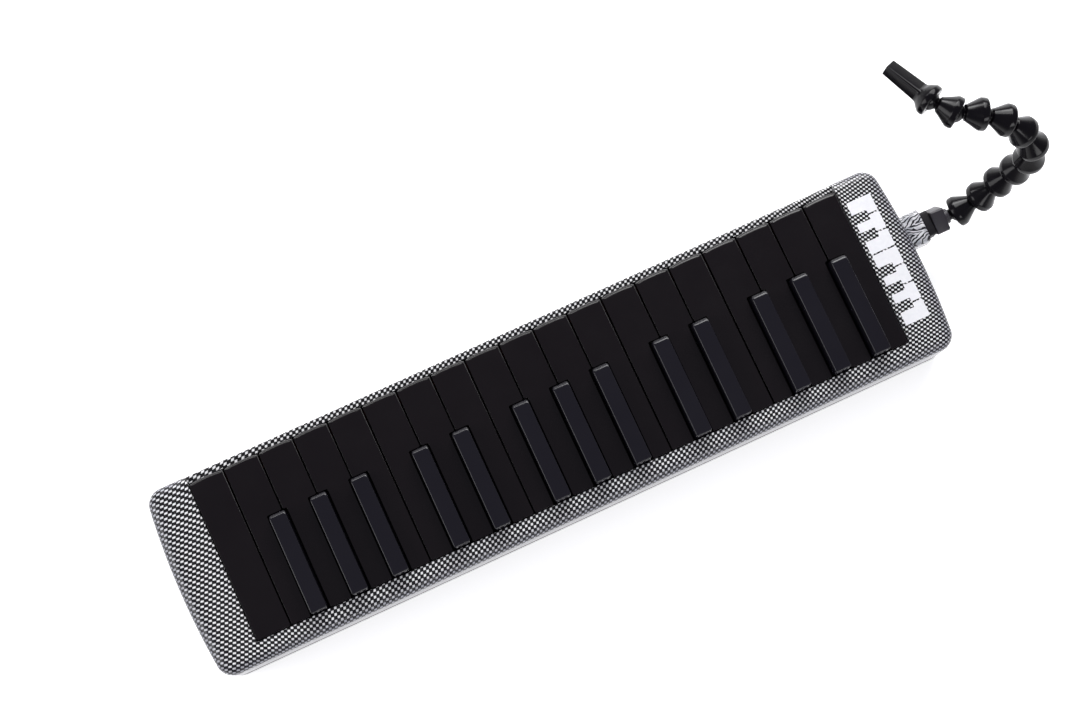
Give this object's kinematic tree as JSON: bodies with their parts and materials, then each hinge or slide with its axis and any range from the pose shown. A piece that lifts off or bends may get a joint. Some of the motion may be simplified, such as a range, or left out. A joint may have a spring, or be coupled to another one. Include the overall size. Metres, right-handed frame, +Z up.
{
  "type": "melodica",
  "caption": "Melodica: a keyed wind instrument with a checked case, black keys and a jointed blowing hose",
  "frame": {"origin": "centre of the case's underside, on the surface it rests on", "axes": "+X along the keyboard towards the treble end, -Y towards the player, +Z up"},
  "size_m": [0.5053, 0.14, 0.1146],
  "materials": {
    "case_check": "hydro-dipped black and white woven check under clear gloss lacquer",
    "case_black": "fine moulded texture",
    "key_satin": "satin black, moulded",
    "key_gloss": "polished black, moulded",
    "hose_black": "glossy black, moulded",
    "plug_black": "satin black, moulded",
    "steel": "zinc plated",
    "brass": "brushed",
    "felt": "pressed wool felt",
    "rubber": "matt"
  },
  "bodies": {
    "case": {"top_cover": "case_check", "bottom_cover": "case_black", "key_frame": "case_black", "key_rod": "steel", "key_spring_comb": "steel", "key_felt": "felt", "reed_plate": "brass", "chamber_gasket": "rubber", "chamber_cover": "case_black", "drain_spring": "steel", "case_screw_1": "steel", "case_screw_2": "steel", "case_screw_3": "steel", "case_screw_4": "steel"},
    "hose_adapter": {"hose_adapter": "plug_black"},
    "hose_connector": {"hose_connector": "plug_black"},
    "hose_link_01": {"hose_link_01": "hose_black"},
    "hose_link_02": {"hose_link_02": "hose_black"},
    "hose_link_03": {"hose_link_03": "hose_black"},
    "hose_link_04": {"hose_link_04": "hose_black"},
    "hose_link_05": {"hose_link_05": "hose_black"},
    "hose_link_06": {"hose_link_06": "hose_black"},
    "hose_link_07": {"hose_link_07": "hose_black"},
    "hose_link_08": {"hose_link_08": "hose_black"},
    "hose_link_09": {"hose_link_09": "hose_black"},
    "hose_link_10": {"hose_link_10": "hose_black"},
    "mouthpiece_tip": {"mouthpiece_tip": "hose_black"},
    "drain_button": {"drain_button": "rubber"},
    "key_F3": {"key_F3": "key_satin"},
    "key_Fs3": {"key_Fs3": "key_gloss"},
    "key_G3": {"key_G3": "key_satin"},
    "key_Gs3": {"key_Gs3": "key_gloss"},
    "key_A3": {"key_A3": "key_satin"},
    "key_As3": {"key_As3": "key_gloss"},
    "key_B3": {"key_B3": "key_satin"},
    "key_C4": {"key_C4": "key_satin"},
    "key_Cs4": {"key_Cs4": "key_gloss"},
    "key_D4": {"key_D4": "key_satin"},
    "key_Ds4": {"key_Ds4": "key_gloss"},
    "key_E4": {"key_E4": "key_satin"},
    "key_F4": {"key_F4": "key_satin"},
    "key_Fs4": {"key_Fs4": "key_gloss"},
    "key_G4": {"key_G4": "key_satin"},
    "key_Gs4": {"key_Gs4": "key_gloss"},
    "key_A4": {"key_A4": "key_satin"},
    "key_As4": {"key_As4": "key_gloss"},
    "key_B4": {"key_B4": "key_satin"},
    "key_C5": {"key_C5": "key_satin"},
    "key_Cs5": {"key_Cs5": "key_gloss"},
    "key_D5": {"key_D5": "key_satin"},
    "key_Ds5": {"key_Ds5": "key_gloss"},
    "key_E5": {"key_E5": "key_satin"},
    "key_F5": {"key_F5": "key_satin"},
    "key_Fs5": {"key_Fs5": "key_gloss"},
    "key_G5": {"key_G5": "key_satin"},
    "key_Gs5": {"key_Gs5": "key_gloss"},
    "key_A5": {"key_A5": "key_satin"},
    "key_As5": {"key_As5": "key_gloss"},
    "key_B5": {"key_B5": "key_satin"},
    "key_C6": {"key_C6": "key_satin"}
  },
  "joints": [
    {"name": "adapter_pull", "type": "slide", "parent": "case", "child": "hose_adapter", "axis": [-1, 0, 0], "range_m": [0, 0.014]},
    {"name": "connector_twist", "type": "hinge", "parent": "hose_adapter", "child": "hose_connector", "pos_m": [-0.24, -0.0139, 0.022], "axis": [-1, 0, 0], "range_deg": [-45, 45]},
    {"name": "hose_bend_01", "type": "hinge", "parent": "hose_connector", "child": "hose_link_01", "pos_m": [-0.2485, -0.0139, 0.022], "axis": [0, 0.9796, 0.201], "range_deg": [-57.6, 2.4]},
    {"name": "hose_bend_02", "type": "hinge", "parent": "hose_link_01", "child": "hose_link_02", "pos_m": [-0.26117, -0.01523, 0.02849], "axis": [0.0396, -0.9912, -0.1261], "range_deg": [-6.7, 53.3]},
    {"name": "hose_bend_03", "type": "hinge", "parent": "hose_link_02", "child": "hose_link_03", "pos_m": [-0.2702, -0.01699, 0.03945], "axis": [-0.4519, 0.8607, -0.2345], "range_deg": [-38.7, 21.3]},
    {"name": "hose_bend_04", "type": "hinge", "parent": "hose_link_03", "child": "hose_link_04", "pos_m": [-0.27774, -0.01765, 0.05157], "axis": [0.0629, -0.9979, -0.0152], "range_deg": [-18, 42]},
    {"name": "hose_bend_05", "type": "hinge", "parent": "hose_link_04", "child": "hose_link_05", "pos_m": [-0.28261, -0.01816, 0.06501], "axis": [0.5246, 0.8221, 0.2212], "range_deg": [-51.3, 8.7]},
    {"name": "hose_bend_06", "type": "hinge", "parent": "hose_link_05", "child": "hose_link_06", "pos_m": [-0.28309, -0.02158, 0.07889], "axis": [-0.597, -0.7738, -0.2118], "range_deg": [-2.7, 57.3]},
    {"name": "hose_bend_07", "type": "hinge", "parent": "hose_link_06", "child": "hose_link_07", "pos_m": [-0.27827, -0.02847, 0.09045], "axis": [0.4639, 0.8327, 0.3023], "range_deg": [-46.8, 13.2]},
    {"name": "hose_bend_08", "type": "hinge", "parent": "hose_link_07", "child": "hose_link_08", "pos_m": [-0.27027, -0.03619, 0.09946], "axis": [-0.4178, -0.839, -0.3486], "range_deg": [-6, 54]},
    {"name": "hose_bend_09", "type": "hinge", "parent": "hose_link_08", "child": "hose_link_09", "pos_m": [-0.25881, -0.04364, 0.10364], "axis": [0.3165, 0.7857, 0.5315], "range_deg": [-40.7, 19.3]},
    {"name": "hose_bend_10", "type": "hinge", "parent": "hose_link_09", "child": "hose_link_10", "pos_m": [-0.24619, -0.05006, 0.10563], "axis": [-0.2333, -0.161, 0.959], "range_deg": [-4.1, 55.9]},
    {"name": "mouthpiece_bend", "type": "hinge", "parent": "hose_link_10", "child": "mouthpiece_tip", "pos_m": [-0.23739, -0.06133, 0.10587], "axis": [0.2764, 0.1951, -0.941], "range_deg": [-44.9, 15.1]},
    {"name": "drain_push", "type": "slide", "parent": "case", "child": "drain_button", "axis": [0, 0, 1], "range_m": [0, 0.002], "stiffness_N_per_m": 500, "springref_m": -0.002, "deforming": ["drain_spring"]},
    {"name": "key_F3_press", "type": "hinge", "parent": "case", "child": "key_F3", "pos_m": [-0.18155, 0.03, 0.034], "axis": [1, 0, 0], "range_deg": [0, 3.4], "stiffness_Nm_per_rad": 0.25, "springref_deg": -14.32},
    {"name": "key_Fs3_press", "type": "hinge", "parent": "case", "child": "key_Fs3", "pos_m": [-0.17085, 0.03, 0.034], "axis": [1, 0, 0], "range_deg": [0, 3.4], "stiffness_Nm_per_rad": 0.25, "springref_deg": -14.32},
    {"name": "key_G3_press", "type": "hinge", "parent": "case", "child": "key_G3", "pos_m": [-0.15905, 0.03, 0.034], "axis": [1, 0, 0], "range_deg": [0, 3.4], "stiffness_Nm_per_rad": 0.25, "springref_deg": -14.32},
    {"name": "key_Gs3_press", "type": "hinge", "parent": "case", "child": "key_Gs3", "pos_m": [-0.1479, 0.03, 0.034], "axis": [1, 0, 0], "range_deg": [0, 3.4], "stiffness_Nm_per_rad": 0.25, "springref_deg": -14.32},
    {"name": "key_A3_press", "type": "hinge", "parent": "case", "child": "key_A3", "pos_m": [-0.13645, 0.03, 0.034], "axis": [1, 0, 0], "range_deg": [0, 3.4], "stiffness_Nm_per_rad": 0.25, "springref_deg": -14.32},
    {"name": "key_As3_press", "type": "hinge", "parent": "case", "child": "key_As3", "pos_m": [-0.12485, 0.03, 0.034], "axis": [1, 0, 0], "range_deg": [0, 3.4], "stiffness_Nm_per_rad": 0.25, "springref_deg": -14.32},
    {"name": "key_B3_press", "type": "hinge", "parent": "case", "child": "key_B3", "pos_m": [-0.11395, 0.03, 0.034], "axis": [1, 0, 0], "range_deg": [0, 3.4], "stiffness_Nm_per_rad": 0.25, "springref_deg": -14.32},
    {"name": "key_C4_press", "type": "hinge", "parent": "case", "child": "key_C4", "pos_m": [-0.10245, 0.03, 0.034], "axis": [1, 0, 0], "range_deg": [0, 3.4], "stiffness_Nm_per_rad": 0.25, "springref_deg": -14.32},
    {"name": "key_Cs4_press", "type": "hinge", "parent": "case", "child": "key_Cs4", "pos_m": [-0.09055, 0.03, 0.034], "axis": [1, 0, 0], "range_deg": [0, 3.4], "stiffness_Nm_per_rad": 0.25, "springref_deg": -14.32},
    {"name": "key_D4_press", "type": "hinge", "parent": "case", "child": "key_D4", "pos_m": [-0.0788, 0.03, 0.034], "axis": [1, 0, 0], "range_deg": [0, 3.4], "stiffness_Nm_per_rad": 0.25, "springref_deg": -14.32},
    {"name": "key_Ds4_press", "type": "hinge", "parent": "case", "child": "key_Ds4", "pos_m": [-0.06755, 0.03, 0.034], "axis": [1, 0, 0], "range_deg": [0, 3.4], "stiffness_Nm_per_rad": 0.25, "springref_deg": -14.32},
    {"name": "key_E4_press", "type": "hinge", "parent": "case", "child": "key_E4", "pos_m": [-0.05515, 0.03, 0.034], "axis": [1, 0, 0], "range_deg": [0, 3.4], "stiffness_Nm_per_rad": 0.25, "springref_deg": -14.32},
    {"name": "key_F4_press", "type": "hinge", "parent": "case", "child": "key_F4", "pos_m": [-0.04365, 0.03, 0.034], "axis": [1, 0, 0], "range_deg": [0, 3.4], "stiffness_Nm_per_rad": 0.25, "springref_deg": -14.32},
    {"name": "key_Fs4_press", "type": "hinge", "parent": "case", "child": "key_Fs4", "pos_m": [-0.03295, 0.03, 0.034], "axis": [1, 0, 0], "range_deg": [0, 3.4], "stiffness_Nm_per_rad": 0.25, "springref_deg": -14.32},
    {"name": "key_G4_press", "type": "hinge", "parent": "case", "child": "key_G4", "pos_m": [-0.02115, 0.03, 0.034], "axis": [1, 0, 0], "range_deg": [0, 3.4], "stiffness_Nm_per_rad": 0.25, "springref_deg": -14.32},
    {"name": "key_Gs4_press", "type": "hinge", "parent": "case", "child": "key_Gs4", "pos_m": [-0.01, 0.03, 0.034], "axis": [1, 0, 0], "range_deg": [0, 3.4], "stiffness_Nm_per_rad": 0.25, "springref_deg": -14.32},
    {"name": "key_A4_press", "type": "hinge", "parent": "case", "child": "key_A4", "pos_m": [0.00145, 0.03, 0.034], "axis": [1, 0, 0], "range_deg": [0, 3.4], "stiffness_Nm_per_rad": 0.25, "springref_deg": -14.32},
    {"name": "key_As4_press", "type": "hinge", "parent": "case", "child": "key_As4", "pos_m": [0.01305, 0.03, 0.034], "axis": [1, 0, 0], "range_deg": [0, 3.4], "stiffness_Nm_per_rad": 0.25, "springref_deg": -14.32},
    {"name": "key_B4_press", "type": "hinge", "parent": "case", "child": "key_B4", "pos_m": [0.02395, 0.03, 0.034], "axis": [1, 0, 0], "range_deg": [0, 3.4], "stiffness_Nm_per_rad": 0.25, "springref_deg": -14.32},
    {"name": "key_C5_press", "type": "hinge", "parent": "case", "child": "key_C5", "pos_m": [0.03545, 0.03, 0.034], "axis": [1, 0, 0], "range_deg": [0, 3.4], "stiffness_Nm_per_rad": 0.25, "springref_deg": -14.32},
    {"name": "key_Cs5_press", "type": "hinge", "parent": "case", "child": "key_Cs5", "pos_m": [0.04735, 0.03, 0.034], "axis": [1, 0, 0], "range_deg": [0, 3.4], "stiffness_Nm_per_rad": 0.25, "springref_deg": -14.32},
    {"name": "key_D5_press", "type": "hinge", "parent": "case", "child": "key_D5", "pos_m": [0.0591, 0.03, 0.034], "axis": [1, 0, 0], "range_deg": [0, 3.4], "stiffness_Nm_per_rad": 0.25, "springref_deg": -14.32},
    {"name": "key_Ds5_press", "type": "hinge", "parent": "case", "child": "key_Ds5", "pos_m": [0.07035, 0.03, 0.034], "axis": [1, 0, 0], "range_deg": [0, 3.4], "stiffness_Nm_per_rad": 0.25, "springref_deg": -14.32},
    {"name": "key_E5_press", "type": "hinge", "parent": "case", "child": "key_E5", "pos_m": [0.08275, 0.03, 0.034], "axis": [1, 0, 0], "range_deg": [0, 3.4], "stiffness_Nm_per_rad": 0.25, "springref_deg": -14.32},
    {"name": "key_F5_press", "type": "hinge", "parent": "case", "child": "key_F5", "pos_m": [0.09425, 0.03, 0.034], "axis": [1, 0, 0], "range_deg": [0, 3.4], "stiffness_Nm_per_rad": 0.25, "springref_deg": -14.32},
    {"name": "key_Fs5_press", "type": "hinge", "parent": "case", "child": "key_Fs5", "pos_m": [0.10495, 0.03, 0.034], "axis": [1, 0, 0], "range_deg": [0, 3.4], "stiffness_Nm_per_rad": 0.25, "springref_deg": -14.32},
    {"name": "key_G5_press", "type": "hinge", "parent": "case", "child": "key_G5", "pos_m": [0.11675, 0.03, 0.034], "axis": [1, 0, 0], "range_deg": [0, 3.4], "stiffness_Nm_per_rad": 0.25, "springref_deg": -14.32},
    {"name": "key_Gs5_press", "type": "hinge", "parent": "case", "child": "key_Gs5", "pos_m": [0.1279, 0.03, 0.034], "axis": [1, 0, 0], "range_deg": [0, 3.4], "stiffness_Nm_per_rad": 0.25, "springref_deg": -14.32},
    {"name": "key_A5_press", "type": "hinge", "parent": "case", "child": "key_A5", "pos_m": [0.13935, 0.03, 0.034], "axis": [1, 0, 0], "range_deg": [0, 3.4], "stiffness_Nm_per_rad": 0.25, "springref_deg": -14.32},
    {"name": "key_As5_press", "type": "hinge", "parent": "case", "child": "key_As5", "pos_m": [0.15095, 0.03, 0.034], "axis": [1, 0, 0], "range_deg": [0, 3.4], "stiffness_Nm_per_rad": 0.25, "springref_deg": -14.32},
    {"name": "key_B5_press", "type": "hinge", "parent": "case", "child": "key_B5", "pos_m": [0.16185, 0.03, 0.034], "axis": [1, 0, 0], "range_deg": [0, 3.4], "stiffness_Nm_per_rad": 0.25, "springref_deg": -14.32},
    {"name": "key_C6_press", "type": "hinge", "parent": "case", "child": "key_C6", "pos_m": [0.1773, 0.03, 0.034], "axis": [1, 0, 0], "range_deg": [0, 3.4], "stiffness_Nm_per_rad": 0.25, "springref_deg": -14.32}
  ]
}
